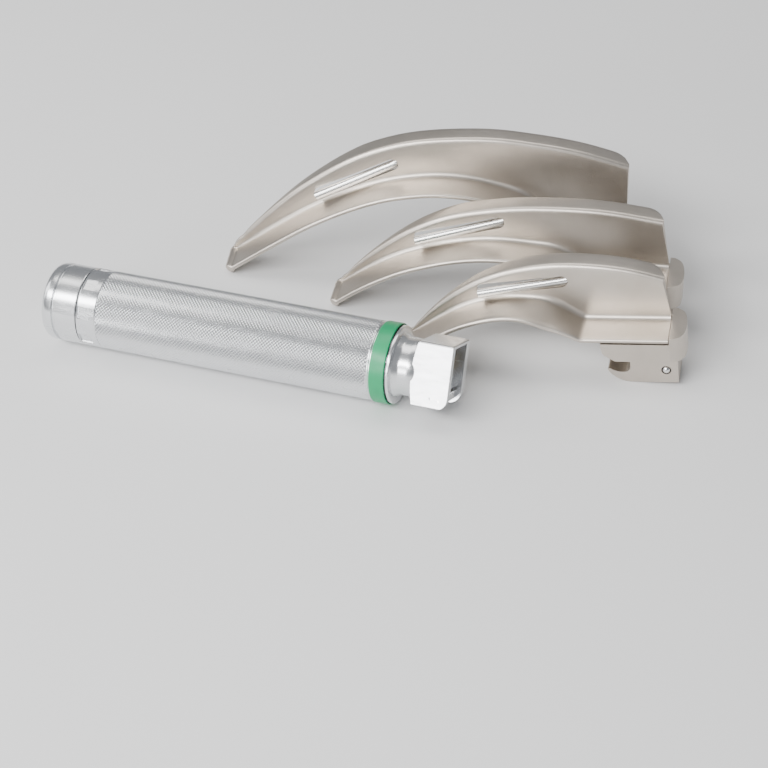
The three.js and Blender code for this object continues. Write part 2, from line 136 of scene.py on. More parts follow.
BLADES = {
    "small": dict(
        heel=(224.1, 48), turn=9.1,
        spatula=[(-34, 19), (-39, 21.9), (-44, 24.4), (-50, 26.5), (-57, 27.6), (-64, 27.3), (-72, 25.5),
                 (-80, 22.4), (-87, 18.6), (-94, 14.2), (-101, 9.8)],
        web=[(-5.2, 35.7), (-17.5, 39.1), (-31, 40.9), (-45, 41), (-59, 38.7), (-70, 34.9), (-80, 29.2),
             (-88, 22.9), (-94, 17), (-97.5, 13.1)],
        guide=[(-71.4, 30.2), (-41, 33.8)]),
    "medium": dict(
        heel=(212.7, 80.3), turn=10.7,
        spatula=[(-31.5, 19), (-36.7, 20.4), (-42.7, 22.5), (-50.7, 24.3), (-61.7, 25.1), (-72.7, 24.5),
                 (-84.7, 22), (-98.7, 17.1), (-108.7, 12), (-117.7, 6.3), (-126.7, -0.4)],
        web=[(-6.6, 38.4), (-26.7, 40.5), (-43.7, 40.4), (-60.7, 39), (-77.7, 35.6), (-89.7, 31.4),
             (-101.7, 24.5), (-111.7, 16.5), (-119.7, 8.7), (-123.5, 4)],
        guide=[(-97, 22.9), (-65.9, 32)]),
    "large": dict(
        heel=(188.8, 104), turn=14.4,
        spatula=[(-29.6, 19), (-34.6, 21.6), (-39.6, 25), (-45.6, 28.2), (-53.6, 30.5), (-63.6, 31.9),
                 (-74.6, 31.8), (-85.6, 29.9), (-96.6, 26.5), (-108.6, 20.8), (-122.6, 12.2),
                 (-135.6, 2.4), (-152.7, -11.3)],
        web=[(-5.2, 43.9), (-23.6, 47.7), (-41.6, 49.3), (-59.6, 49.4), (-81.6, 46.2), (-97.6, 41),
             (-111.6, 33.2), (-126.6, 21.3), (-136.6, 11.2), (-144.6, 1.8), (-149.4, -4.6)],
        guide=[(-121.2, 18.6), (-92.5, 34)]),
}


# ---- mesh building ----

def to_object(bm, name, matrix=None):
    """A mesh object from a bmesh in millimetres, placed by a matrix in millimetres."""
    if matrix is not None:
        bmesh.ops.transform(bm, matrix=matrix, verts=bm.verts)
    bmesh.ops.scale(bm, vec=(MM, MM, MM), verts=bm.verts)
    mesh = bpy.data.meshes.new(name)
    bm.to_mesh(mesh)
    bm.free()
    obj = bpy.data.objects.new(name, mesh)
    bpy.context.collection.objects.link(obj)
    return obj


def smooth(obj, angle=32):
    """Smooth shading, with edges sharper than the angle kept crisp."""
    mesh = obj.data
    mesh.shade_smooth()
    mesh.set_sharp_from_angle(angle=angle * DEG)
    return obj


def flatten(obj):
    """Lets large faces set the shading where they meet small rounded edges."""
    modifier = obj.modifiers.new("normals", "WEIGHTED_NORMAL")
    modifier.weight = 90
    modifier.keep_sharp = True
    return bake(obj)


def bake(obj):
    """Applies an object's modifiers."""
    graph = bpy.context.evaluated_depsgraph_get()
    mesh = bpy.data.meshes.new_from_object(obj.evaluated_get(graph))
    obj.modifiers.clear()
    old = obj.data
    obj.data = mesh
    bpy.data.meshes.remove(old)
    return obj


def combine(obj, others, operation):
    """Adds or cuts other objects with exact booleans, and removes them."""
    for other in others:
        modifier = obj.modifiers.new("cut", "BOOLEAN")
        modifier.operation = operation
        modifier.solver = "EXACT"
        modifier.object = other
    bake(obj)
    for other in others:
        bpy.data.objects.remove(other, do_unlink=True)
    return obj


def soften(obj, width, segments=3, angle=35):
    """Rounds an object's sharp edges."""
    modifier = obj.modifiers.new("edges", "BEVEL")
    modifier.width = width * MM
    modifier.segments = segments
    modifier.limit_method = "ANGLE"
    modifier.angle_limit = angle * DEG
    return bake(obj)


def quads(bm, low, high):
    """Faces between two rings with the same number of vertices."""
    count = len(low)
    for i in range(count):
        j = (i + 1) % count
        bm.faces.new((low[i], low[j], high[j], high[i]))


def turned(profile, segments=96):
    """A closed solid turned round X from (x, radius) pairs.

    Both ends of the profile are on the axis, or else the profile is a closed loop.
    """
    bm = bmesh.new()
    on_axis = profile[0][1] == 0
    rings = []
    for x, r in profile:
        if r == 0:
            rings.append([bm.verts.new((x, 0, 0))])
        else:
            rings.append([bm.verts.new((x, r * math.cos(a), r * math.sin(a)))
                          for a in (i * 2 * math.pi / segments for i in range(segments))])
    pairs = list(zip(rings, rings[1:]))
    if not on_axis:
        pairs.append((rings[-1], rings[0]))
    for low, high in pairs:
        if len(low) == len(high):
            quads(bm, low, high)
            continue
        for i in range(segments):
            j = (i + 1) % segments
            if len(low) == 1:
                bm.faces.new((low[0], high[j], high[i]))
            else:
                bm.faces.new((low[i], low[j], high[0]))
    bmesh.ops.recalc_face_normals(bm, faces=bm.faces)
    return bm


def prism(points, low, high, plane="XZ"):
    """An outline extruded: in XZ along Y, or in XY along Z."""
    bm = bmesh.new()
    place = (lambda a, b, c: (a, c, b)) if plane == "XZ" else (lambda a, b, c: (a, b, c))
    rows = [[bm.verts.new(place(a, b, level)) for a, b in points] for level in (low, high)]
    count = len(points)
    for i in range(count):
        j = (i + 1) % count
        bm.faces.new((rows[0][i], rows[0][j], rows[1][j], rows[1][i]))
    bm.faces.new(rows[0])
    bm.faces.new(rows[1])
    bmesh.ops.recalc_face_normals(bm, faces=bm.faces)
    return bm


def rod(start, end, radius, segments=48):
    """A plain cylinder between two points, used as a cutter."""
    a, b = Vector(start), Vector(end)
    bm = turned([(0, 0), (0, radius), ((b - a).length, radius), ((b - a).length, 0)], segments)
    rotation = (b - a).to_track_quat("X", "Z").to_matrix().to_4x4()
    bmesh.ops.transform(bm, matrix=Matrix.Translation(a) @ rotation, verts=bm.verts)
    return bm


def ball(x, y, z, step, segments):
    """A detent ball, its outline drawn with a point every so many degrees."""
    outline = [(-BALL_R * math.cos(t * step * DEG), BALL_R * math.sin(t * step * DEG))
               for t in range(1, round(180 / step))]
    bm = turned([(-BALL_R, 0)] + outline + [(BALL_R, 0)], segments)
    bmesh.ops.translate(bm, vec=(x, y, z), verts=bm.verts)
    return bm


def spline(points, count):
    """Points on a Catmull-Rom curve through the given ones."""
    found = []
    last = len(points) - 1
    for k in range(count + 1):
        t = k / count * last
        i = min(int(t), last - 1)
        w = t - i
        p0, p1, p2, p3 = (Vector(points[min(max(n, 0), last)]) for n in (i - 1, i, i + 1, i + 2))
        v0, v1 = (p2 - p0) / 2, (p3 - p1) / 2
        found.append((2 * p1 - 2 * p2 + v0 + v1) * w ** 3 + (3 * p2 - 3 * p1 - 2 * v0 - v1) * w ** 2
                     + v0 * w + p1)
    return found


def evenly(points, count):
    """The same line with its points an equal distance apart."""
    lengths = [0.0]
    for a, b in zip(points, points[1:]):
        lengths.append(lengths[-1] + (b - a).length)
    found = []
    i = 0
    for k in range(count + 1):
        goal = lengths[-1] * k / count
        while i < len(points) - 2 and lengths[i + 1] < goal:
            i += 1
        span = lengths[i + 1] - lengths[i]
        found.append(points[i].lerp(points[i + 1], 0 if span == 0 else (goal - lengths[i]) / span))
    return found


def tangents(points):
    last = len(points) - 1
    return [(points[min(i + 1, last)] - points[max(i - 1, 0)]).normalized() for i in range(last + 1)]


def arc(cx, cy, r, start, end, steps):
    return [(cx + r * math.cos(a), cy + r * math.sin(a))
            for a in ((start + (end - start) * i / steps) * DEG for i in range(steps + 1))]


def loft(sections):
    """A closed skin over sections that all have the same number of points, with a flat face at each end."""
    bm = bmesh.new()
    rows = [[bm.verts.new(p) for p in section] for section in sections]
    for low, high in zip(rows, rows[1:]):
        quads(bm, low, high)
    bm.faces.new(rows[0])
    bm.faces.new(rows[-1])
    bmesh.ops.remove_doubles(bm, verts=bm.verts, dist=0.004)
    bmesh.ops.dissolve_degenerate(bm, edges=bm.edges, dist=0.002)
    bmesh.ops.recalc_face_normals(bm, faces=bm.faces)
    return bm


def into_place(obj, matrix):
    """Moves a finished mesh by a matrix in millimetres."""
    obj.data.transform(Matrix.Diagonal((1 / MM, 1 / MM, 1 / MM, 1)))
    obj.data.transform(Matrix.Diagonal((MM, MM, MM, 1)) @ matrix)


def tube_along(points, radius, sides=28, ease=0.0):
    """A round bar along a path; ease is how far the rim at its start is cut back."""
    path = evenly(points, 90)
    direction = tangents(path)
    up = Vector((0, 1, 0))
    sections = []
    stations = [(path[0], direction[0], radius - ease)] if ease else []
    stations += [(p + (d * ease if ease and i == 0 else Vector()), d, radius)
                 for i, (p, d) in enumerate(zip(path, direction))]
    for p, d, r in stations:
        side = up.cross(d).normalized()
        up = d.cross(side).normalized()
        sections.append([p + side * (r * math.cos(a)) + up * (r * math.sin(a))
                         for a in (i * 2 * math.pi / sides for i in range(sides))])
    return loft(sections)


# ---- frames of the handle and the blades ----

HANDLE = Matrix.Translation((BUTT_X, AXIS_Y, AXIS_Z)) @ Matrix.Rotation(-HEAD_ROLL * DEG, 4, "X")


def blade_matrix(spec):
    """From the blade's own frame to the shared one: it leans on its tip and heel, and is turned in plan."""
    x, top = spec["spatula"][-1]
    z = top - SPATULA / 2
    corner = FRONT_CORNER if z > TIP_R else BACK_CORNER
    lean = math.atan2(z, corner - x) - math.asin(TIP_R / math.hypot(corner - x, z))
    pivot = Matrix.Translation((corner, 0, 0))
    tilt = pivot @ Matrix.Rotation(-lean, 4, "Y") @ pivot.inverted()
    place = Matrix.Translation((spec["heel"][0] + BUTT_X, spec["heel"][1] + AXIS_Y, 0))
    return place @ Matrix.Rotation(spec["turn"] * DEG, 4, "Z") @ tilt


# ---- handle pieces ----

def collar():
    """The plain end of the tube with its ring of shallow finger notches."""
    half = math.asin(NOTCH_HALF_WIDTH / HANDLE_R)
    angles = []
    for n in range(NOTCH_COUNT):
        middle = NOTCH_TURN * DEG + n * 2 * math.pi / NOTCH_COUNT + math.pi / 2
        inside = [middle + half * t for t in (-1, -0.6, -0.2, 0.2, 0.6, 1)]
        angles += [(middle - half - NOTCH_EDGE, False)] + [(a, True) for a in inside]
        angles += [(middle + half + NOTCH_EDGE, False)]
        gap = 2 * math.pi / NOTCH_COUNT - 2 * half - 2 * NOTCH_EDGE
        angles += [(middle + half + NOTCH_EDGE + gap * t / 6, False) for t in range(1, 6)]
    rows = [(COLLAR_START, HANDLE_R - 0.35, False), (COLLAR_START + 0.12, HANDLE_R - 0.1, False),
            (COLLAR_START + 0.4, HANDLE_R, False), (NOTCH_START - 0.1, HANDLE_R, False),
            (NOTCH_START + 0.05, HANDLE_R, True), (NOTCH_END - 0.05, HANDLE_R, True),
            (NOTCH_END + 0.1, HANDLE_R, False), (KNURL_START - 0.55, HANDLE_R, False),
            (KNURL_START - SHOULDER, HANDLE_R - SHOULDER_DROP, False),
            (KNURL_START - SHOULDER, BORE_R, False),
            (COLLAR_START, BORE_R, False)]
    sections = []
    for x, r, cut_row in rows:
        ring = []
        for a, cut in angles:
            level = r
            if cut and cut_row:
                # the floor of a notch is flat
                nearest = round((a - NOTCH_TURN * DEG - math.pi / 2) / (2 * math.pi / NOTCH_COUNT))
                offset = a - NOTCH_TURN * DEG - math.pi / 2 - nearest * 2 * math.pi / NOTCH_COUNT
                level = (HANDLE_R - NOTCH_DEPTH) / math.cos(offset)
            ring.append((x, level * math.cos(a), level * math.sin(a)))
        sections.append(ring)
    bm = bmesh.new()
    vertices = [[bm.verts.new(p) for p in ring] for ring in sections]
    for low, high in zip(vertices, vertices[1:] + vertices[:1]):
        quads(bm, low, high)
    bmesh.ops.recalc_face_normals(bm, faces=bm.faces)
    return bm


def knurled_grip():
    """The grip: a field of small diamonds between two eased shoulders, over a plain bore."""
    bm = bmesh.new()
    # the last number is 0 for a plain row, and 1 or 2 for the two kinds of knurled row
    rows = [(KNURL_START - SHOULDER, BORE_R, 0), (KNURL_START - SHOULDER, HANDLE_R - SHOULDER_DROP, 0)]
    pitch = (KNURL_END - KNURL_START) / KNURL_ALONG
    for j in range(KNURL_ALONG + 1):
        rows.append((KNURL_START + j * pitch, HANDLE_R, 1 + j % 2))
    rows += [(KNURL_END + SHOULDER, HANDLE_R - SHOULDER_DROP, 0), (KNURL_END + 0.55, HANDLE_R, 0),
             (RING_START - 0.6, HANDLE_R, 0), (RING_START - 0.3, HANDLE_R - 0.25, 0),
             (RING_END, HANDLE_R - 0.4, 0), (RING_END, BORE_R, 0)]
    rings = []
    for x, r, kind in rows:
        ring = []
        for i in range(KNURL_AROUND):
            a = i * 2 * math.pi / KNURL_AROUND
            low = kind and (i + kind) % 2
            level = r - (KNURL_DEPTH if low else 0)
            ring.append(bm.verts.new((x, level * math.cos(a), level * math.sin(a))))
        rings.append(ring)
    for n, (low, high) in enumerate(zip(rings, rings[1:] + rings[:1])):
        kinds = rows[n][2], rows[(n + 1) % len(rows)][2]
        for i in range(KNURL_AROUND):
            j = (i + 1) % KNURL_AROUND
            if not all(kinds):
                bm.faces.new((low[i], low[j], high[j], high[i]))
            elif (i + kinds[0]) % 2:
                # the valleys are low[i] and high[j]
                bm.faces.new((low[i], low[j], high[j]))
                bm.faces.new((low[i], high[j], high[i]))
            else:
                bm.faces.new((low[i], low[j], high[i]))
                bm.faces.new((low[j], high[j], high[i]))
    bmesh.ops.recalc_face_normals(bm, faces=bm.faces)
    return bm


def make_handle():
    """The pieces of the handle: name to object, body, slot and the CAD nodes it stands for."""
    pieces = {}
    tube = to_object(knurled_grip(), "grip", HANDLE)
    ring = to_object(collar(), "collar", HANDLE)
    pieces["grip_tube"] = (smooth(tube, 20), "handle", "plated_chrome", ["handle_tube"])
    pieces["grip_collar"] = (smooth(ring, 24), "handle", "plated_chrome", [])
    skirt = BORE_R - 0.3
    cap = turned([
        (0.35, 0), (0.35, 9.2), (0.1, 9.6), (0, 10.2), (0, 12.4), (0.12, 12.9), (0.45, 13.4), (1, 13.8),
        (1.7, 14.1), (2.6, HANDLE_R), (4.25, HANDLE_R), (4.4, HANDLE_R - 0.1), (4.55, HANDLE_R - 0.75),
        (5.65, HANDLE_R - 0.75), (5.8, HANDLE_R - 0.1), (5.95, HANDLE_R), (CAP_END - 0.3, HANDLE_R),
        (CAP_END - 0.08, HANDLE_R - 0.1), (CAP_END, HANDLE_R - 0.3), (CAP_END, skirt), (15.2, skirt),
        (15.2, skirt - 1.2), (17, skirt - 1.2), (17, skirt), (19.3, skirt), (19.6, skirt - 0.3),
        (19.6, skirt - 2.2), (9, skirt - 2.2), (9, 8), (3.4, 8), (3.4, 0)], 128)
    pieces["butt_cap"] = (smooth(to_object(cap, "cap", HANDLE), 24), "cap", "plated_chrome", ["end_cap"])
    top = HANDLE_R + 0.3
    green = turned([
        (RING_START, HANDLE_R - 0.1), (RING_START, top - 0.28), (RING_START + 0.08, top - 0.12),
        (RING_START + 0.25, top - 0.02), (RING_START + 0.6, top), (RING_END - 0.6, top),
        (RING_END - 0.25, top - 0.02), (RING_END - 0.08, top - 0.12), (RING_END, top - 0.28),
        (RING_END, HANDLE_R - 0.1)], 160)
    band = smooth(to_object(green, "ring", HANDLE), 24)
    pieces["colour_band"] = (band, "handle", "green_ring", ["colour_ring"])
    pieces["hook_head"] = (make_head(), "handle", "plated_chrome", ["head_fitting"])
    half = HEAD_HALF_WIDTH - 0.1
    pin = turned([(-half, 0), (-half, PIN_R - 0.3), (-half + 0.3, PIN_R), (half - 0.3, PIN_R),
                  (half, PIN_R - 0.3), (half, 0)], 48)
    bmesh.ops.rotate(pin, cent=(0, 0, 0), matrix=Matrix.Rotation(90 * DEG, 3, "Z"), verts=pin.verts)
    bmesh.ops.translate(pin, vec=(PIN_X, 0, -PIN_DROP), verts=pin.verts)
    pieces["cross_pin"] = (smooth(to_object(pin, "pin", HANDLE)), "handle", "polished_steel", ["hinge_pin"])
    sleeve = turned([
        (131.8, 1.7), (131.8, 4.2), (132, 4.4), (141, 4.4), (141.4, 4), (146.6, 4), (146.85, 3.9),
        (147.05, 3.6), (147.2, 3.2), (147.2, 2.8), (147, 2.6), (136.4, 2.6), (136.4, 1.7)], 72)
    pieces["lamp_cartridge"] = (smooth(to_object(sleeve, "sleeve", HANDLE)), "lamp", "brass", ["lamp_sleeve"])
    bulb = turned([(136.8, 0), (136.8, 2.2), (143.8, 2.2), (144.8, 2.1), (145.5, 1.85), (146.1, 1.4),
                   (146.5, 0.9), (146.73, 0.45), (146.8, 0)], 48)
    pieces["lamp_glass"] = (smooth(to_object(bulb, "bulb", HANDLE), 50), "lamp", "bulb_glass", ["lamp_bulb"])
    return pieces


def make_head():
    """The hook-on fitting: a turned rim and neck, and a square head with slot, lamp bore and ball seats."""
    rim = turned([
        (128, 4.95), (128, 10.6), (128.4, BORE_R - 0.3), (RING_END - 0.4, BORE_R - 0.3),
        (RING_END - 0.4, 11.7), (RING_END + 0.3, 11.7), (RING_END + 0.3, HANDLE_R - 0.55),
        (RING_END + 0.42, HANDLE_R - 0.36),
        (RING_END + 0.6, HANDLE_R - 0.3), (134.55, HANDLE_R - 0.3), (134.82, HANDLE_R - 0.42),
        (135, HANDLE_R - 0.8), (135, 11.9), (134.9, 11.7), (134.95, 11.45), (135.2, 11.3), (136, 11.0),
        (136.6, 10.65), (137.3, NECK_R), (139.8, NECK_R), (141, 10.35), (142.3, 9.9), (143.7, 9.2),
        (144.8, 9.2), (144.8, 4.95)], 128)
    outline = [(HEAD_END, HEAD_HALF_HEIGHT - 0.4), (HEAD_END - 0.4, HEAD_HALF_HEIGHT),
               (143.4, HEAD_HALF_HEIGHT)]
    outline += [(142.9, 10), (142.5, 8), (142.2, 6), (141.9, 4), (141.75, 2), (HEAD_BASE, 0), (141.75, -2),
                (141.9, -4), (142.12, -6), (142.4, -8), (142.75, -9.9), (143.1, -HEAD_HALF_HEIGHT)]
    corner = 4.2
    outline += [(HEAD_END - corner + corner * math.sin(t * 7.5 * DEG),
                 -HEAD_HALF_HEIGHT + corner - corner * math.cos(t * 7.5 * DEG)) for t in range(13)]
    head = to_object(prism(outline, -HEAD_HALF_WIDTH, HEAD_HALF_WIDTH), "head")
    bar_r = HANDLE_R + 0.3
    bar_profile = [(NECK_START, 0), (NECK_START, bar_r), (PAST_HEAD, bar_r), (PAST_HEAD, 0)]
    bar = to_object(turned(bar_profile, 192), "bar")
    combine(head, [bar], "INTERSECT")
    slot_open = -20
    slot_outline = [(SLOT_FLOOR, slot_open), (PAST_HEAD, slot_open), (PAST_HEAD, SLOT_BACK),
                    (SLOT_FLOOR, SLOT_BACK)]
    slot = to_object(prism(slot_outline, -SLOT_HALF_WIDTH, SLOT_HALF_WIDTH), "slot")
    bore_profile = [(NECK_START, 0), (NECK_START, LAMP_BORE_R), (HEAD_BASE, LAMP_BORE_R),
                    (HEAD_BASE + 0.3, LAMP_LIP_R), (149.4, LAMP_LIP_R), (149.4, 0)]
    bore = to_object(turned(bore_profile, 64), "bore")
    combine(head, [slot, bore], "DIFFERENCE")
    soften(head, 0.3, 2, 40)
    plate = -HEAD_HALF_WIDTH
    # two marks on the near side plate: a blind dimple and the end of the pin
    dimple = rod((149.7, plate - 1, -7.8), (149.7, plate + 0.5, -7.8), 0.55, 24)
    pin_mark = rod((PIN_X, plate - 1, -PIN_DROP), (PIN_X, plate + 0.25, -PIN_DROP), 0.5, 24)
    small = [to_object(dimple, "dot"), to_object(pin_mark, "dot")]
    for side in (-1, 1):
        seat_x = SLOT_FLOOR + 0.3 + BALL_Z
        seat_z = -PIN_DROP + SEAT_RISE
        seat_y = side * (SLOT_HALF_WIDTH - BALL_R + 0.6)
        small.append(to_object(ball(seat_x, seat_y, seat_z, 15, 32), "seat"))
    combine(head, small, "DIFFERENCE")
    neck = to_object(rim, "neck")
    bm = bmesh.new()
    for piece in (head, neck):
        bm.from_mesh(piece.data)
        bpy.data.objects.remove(piece, do_unlink=True)
    bmesh.ops.scale(bm, vec=(1 / MM, 1 / MM, 1 / MM), verts=bm.verts)
    return flatten(smooth(to_object(bm, "head", HANDLE), 40))


# ---- blade pieces ----

def spatula_line(spec):
    """The spatula's upper side in the blade's own plane, from heel to tip."""
    return [Vector((HEEL_END, SPATULA_HEEL_Z))] + spline(spec["spatula"], 220)


def flange_width(x, first, last):
    """How far the flange reaches from the web, from its eased heel corner to its fade-out at the tip."""
    knots = [(last, 1.6), (last + 4, 2.0), (last + 14, 3.8), (last + 28, 6.5), (last + 44, FLANGE_WIDTH),
             (first - 5.4, FLANGE_WIDTH), (first - 3.9, 8.05), (first - 2.6, 7.2), (first - 1.6, 6.2),
             (first - 0.9, 5), (first - 0.3, 3.6), (first, 2.6)]
    if x <= knots[0][0]:
        return knots[0][1]
    for (x0, w0), (x1, w1) in zip(knots, knots[1:]):
        if x <= x1:
            return w0 + (w1 - w0) * (x - x0) / (x1 - x0)
    return knots[-1][1]


def blade_sheet(spec):
    """Spatula, web and flange as one formed sheet, ending in a rounded bead."""
    line = spatula_line(spec)
    edge = spline(spec["web"], 200)  # the web's top edge
    first, last = edge[0].x, edge[-1].x
    stop = min(range(len(line)), key=lambda i: (line[i] - edge[-1]).length)
    low = evenly(line[:stop + 1], WEB_STATIONS)
    high = evenly(edge, WEB_STATIONS)
    tail = evenly(line[stop:], TIP_STATIONS)[1:]
    low_dir, high_dir = tangents(low), tangents(high)
    bend = spec["spatula"][2][0]

    def skew(x):
        """How far the sheet is twisted where it leaves the heel: up at the web, down at its free edge."""
        return 1.1 * math.exp(-((x - bend + 2) / 7) ** 2)

    def up(d):
        """The upward normal of a direction."""
        return Vector((d.y, -d.x)) if d.x < 0 else Vector((-d.y, d.x))

    def section(s, s_dir, e, e_dir, width, near, far, thick_up, thick_down, lift):
        """One cross-section; s and e are the web's foot and its top edge."""
        ns = up(s_dir)
        ne = up(e_dir)
        height = (e - s - ns * thick_up).length
        scale = min(1.0, height / FULL_HEIGHT)
        points = []

        def at_foot(y, n):
            tilt = lift * (0.5 + y / SPATULA_WIDTH) * 2 if y < 0 else lift
            p = s + ns * (n + tilt)
            points.append((p.x, y, p.y))

        def at_edge(y, n):
            p = e + ne * n
            points.append((p.x, y, p.y))

        half = (thick_up + SPATULA + thick_down) / 2
        middle = (thick_up - SPATULA - thick_down) / 2
        for y, n in arc(near + half, middle, half, 270, 90, 8):
            at_foot(y, n)
        inner = 2.0 * scale
        for t in (0.2, 0.4, 0.6, 0.8):
            y = near + half + (-inner - near - half) * t
            dish = -0.22 * math.sin(math.pi * t)
            at_foot(y, thick_up + dish * scale)
        for y, n in arc(-inner, inner, inner, 270, 360, 6):
            at_foot(y, thick_up + n)
        outer = 1.7 * scale
        foot = Vector((points[-1][0], points[-1][2]))
        shoulder = e - ne * outer
        for t in (0.15, 0.3, 0.45, 0.6, 0.75, 0.9):
            p = foot.lerp(shoulder, t)
            points.append((p.x, 0, p.y))
        for y, n in arc(outer, -outer, outer, 180, 90, 6):
            at_edge(y, n)
        lip = 0.8
        for t in (0.35, 0.7):
            at_edge(outer + (width - lip - outer) * t, 0)
        for y, n in arc(max(width - lip, outer + 0.02), -lip, lip, 90, -90, 6):
            at_edge(y, n)
        under = 1.0 * scale
        at_edge(max(SHEET + under + 0.1, (SHEET + under + width - lip) / 2), -SHEET)
        for y, n in arc(SHEET + under, -SHEET - under, under, 90, 180, 4):
            at_edge(y, n)
        top = Vector((points[-1][0], points[-1][2]))
        base = s + ns * (thick_up + lift)
        for t in (0.25, 0.5, 0.75):
            p = top.lerp(base, t)
            points.append((p.x, SHEET, p.y))
        turn = 1.6
        for y, n in arc(far - turn, thick_up, turn, 0, -90, 5):
            at_foot(y, thick_up + (n - thick_up) * (2 * half) / turn)
        for t in (0.3, 0.6):
            at_foot((far - turn) + (near + half - far + turn) * t, -SPATULA - thick_down)
        return points

    sections = []
    for s, s_dir, e, e_dir in zip(low, low_dir, high, high_dir):
        width = flange_width(e.x, first, last)
        sections.append(section(s, s_dir, e, e_dir, width, -SPATULA_WIDTH, SHEET, 0, 0, skew(s.x)))
    # past the end of the web: the sheet runs on into the bead
    tail_dir = tangents([low[-2]] + tail)[1:]
    total = sum((b - a).length for a, b in zip([low[-1]] + tail, tail))
    run = 0.0
    before = low[-1]
    end_height = (high[-1] - low[-1]).length

    def tail_section(p, d, to_end):
        """A section of the tip; to_end is the distance left to the bead's middle, negative past it."""
        bead = math.sqrt(TIP_R ** 2 - to_end ** 2) if abs(to_end) < TIP_R else 0
        thick = bead - SPATULA / 2
        if to_end > 0:
            thick = max(0.0, thick)
        from_end = min(to_end + TIP_R, TIP_CORNER)
        shrink = TIP_CORNER - math.sqrt(TIP_CORNER ** 2 - (TIP_CORNER - from_end) ** 2)
        gone = min(1.0, run / (total - TIP_R / 2))
        height = max(0.12, end_height * math.sqrt(1 - gone ** 2))
        e = p + up(d) * (thick + height)
        middle, half = (SHEET - SPATULA_WIDTH) / 2, (SHEET + SPATULA_WIDTH) / 2
        return [(x, middle + (y - middle) * (half - shrink) / half, z)
                for x, y, z in section(p, d, e, d, 1.8, -SPATULA_WIDTH, SHEET, thick, thick, 0)]

    for p, d in zip(tail, tail_dir):
        run += (p - before).length
        before = p
        sections.append(tail_section(p, d, total - run))
    for share in (0.3, 0.55, 0.75, 0.9, 0.98):
        sections.append(tail_section(tail[-1] + tail_dir[-1] * TIP_R * share, tail_dir[-1], -TIP_R * share))
    return sections


def guide_slot(spec):
    """The outline of the long hole in the web that the light guide comes through."""
    (x0, z0), (x1, z1) = spec["guide"]
    angle = math.atan2(z1 - z0, x1 - x0) / DEG
    r = GUIDE_R + SLOT_MARGIN
    return (arc(x1 - 0.6, z1 + SLOT_RISE, r, angle - 90, angle + 90, 14)
            + arc(x0 + 1.6, z0 + SLOT_RISE, r, angle + 90, angle + 270, 14))


def guide_points(spec):
    """The light guide's path: along the web, through its slot, and down to the inlet under the heel."""
    (x0, z0), (x1, z1) = spec["guide"]
    front = -GUIDE_R - 0.3
    behind = SHEET + 0.3 + GUIDE_R
    slope = (z1 - z0) / (x1 - x0)
    return [(x0, front, z0), ((x0 + x1) / 2, (front + GUIDE_R) / 2, (z0 + z1) / 2), (x1, GUIDE_R, z1),
            (x1 + 8, behind - 0.4, z1 + slope * 6), (-23, behind, 28), (-18.5, behind, 21.5),
            (-16.5, 2.6, 16.5), (-13.2, -2.2, 11.2), (-10.9, -5.3, 6.6), (INLET_X, TONGUE_MID, 3.2),
            (INLET_X, TONGUE_MID, 0.9)]


def make_blade(size, spec):
    """The pieces of one blade, given as make_handle gives the handle's."""
    matrix = blade_matrix(spec)
    body = f"blade_{size}"
    sheet = to_object(loft(blade_sheet(spec)), "sheet")
    cutter = to_object(prism(guide_slot(spec), -1, SHEET + 0.8), "slot")
    path = spline(guide_points(spec), GUIDE_STATIONS)
    tunnel = to_object(tube_along(path, GUIDE_R + GUIDE_CLEARANCE), "tunnel")
    combine(sheet, [cutter, tunnel], "DIFFERENCE")
    into_place(sheet, matrix)
    smooth(sheet, 30)
    guide = tube_along(path, GUIDE_R, 36, 0.15)
    pieces = {
        f"formed_{size}": (sheet, body, "satin_steel", [f"blade_{size}"]),
        f"heel_{size}": (make_heel(spec, matrix), body, "satin_steel", [f"heel_block_{size}"]),
        f"guide_{size}": (smooth(to_object(guide, "guide", matrix)), body, "guide_steel",
                          [f"light_guide_{size}"]),
    }
    low = TONGUE_NEAR + BALL_R - BALL_OUT
    high = TONGUE_FAR - BALL_R + BALL_OUT
    for side, y in (("near", low), ("far", high)):
        detent = smooth(to_object(ball(BALL_X, y, BALL_Z, 7.5, 40), "ball", matrix), 60)
        node = f"ball_{side}_{size}"
        pieces[f"detent_{side}_{size}"] = (detent, node, "polished_steel", [node])
    return pieces


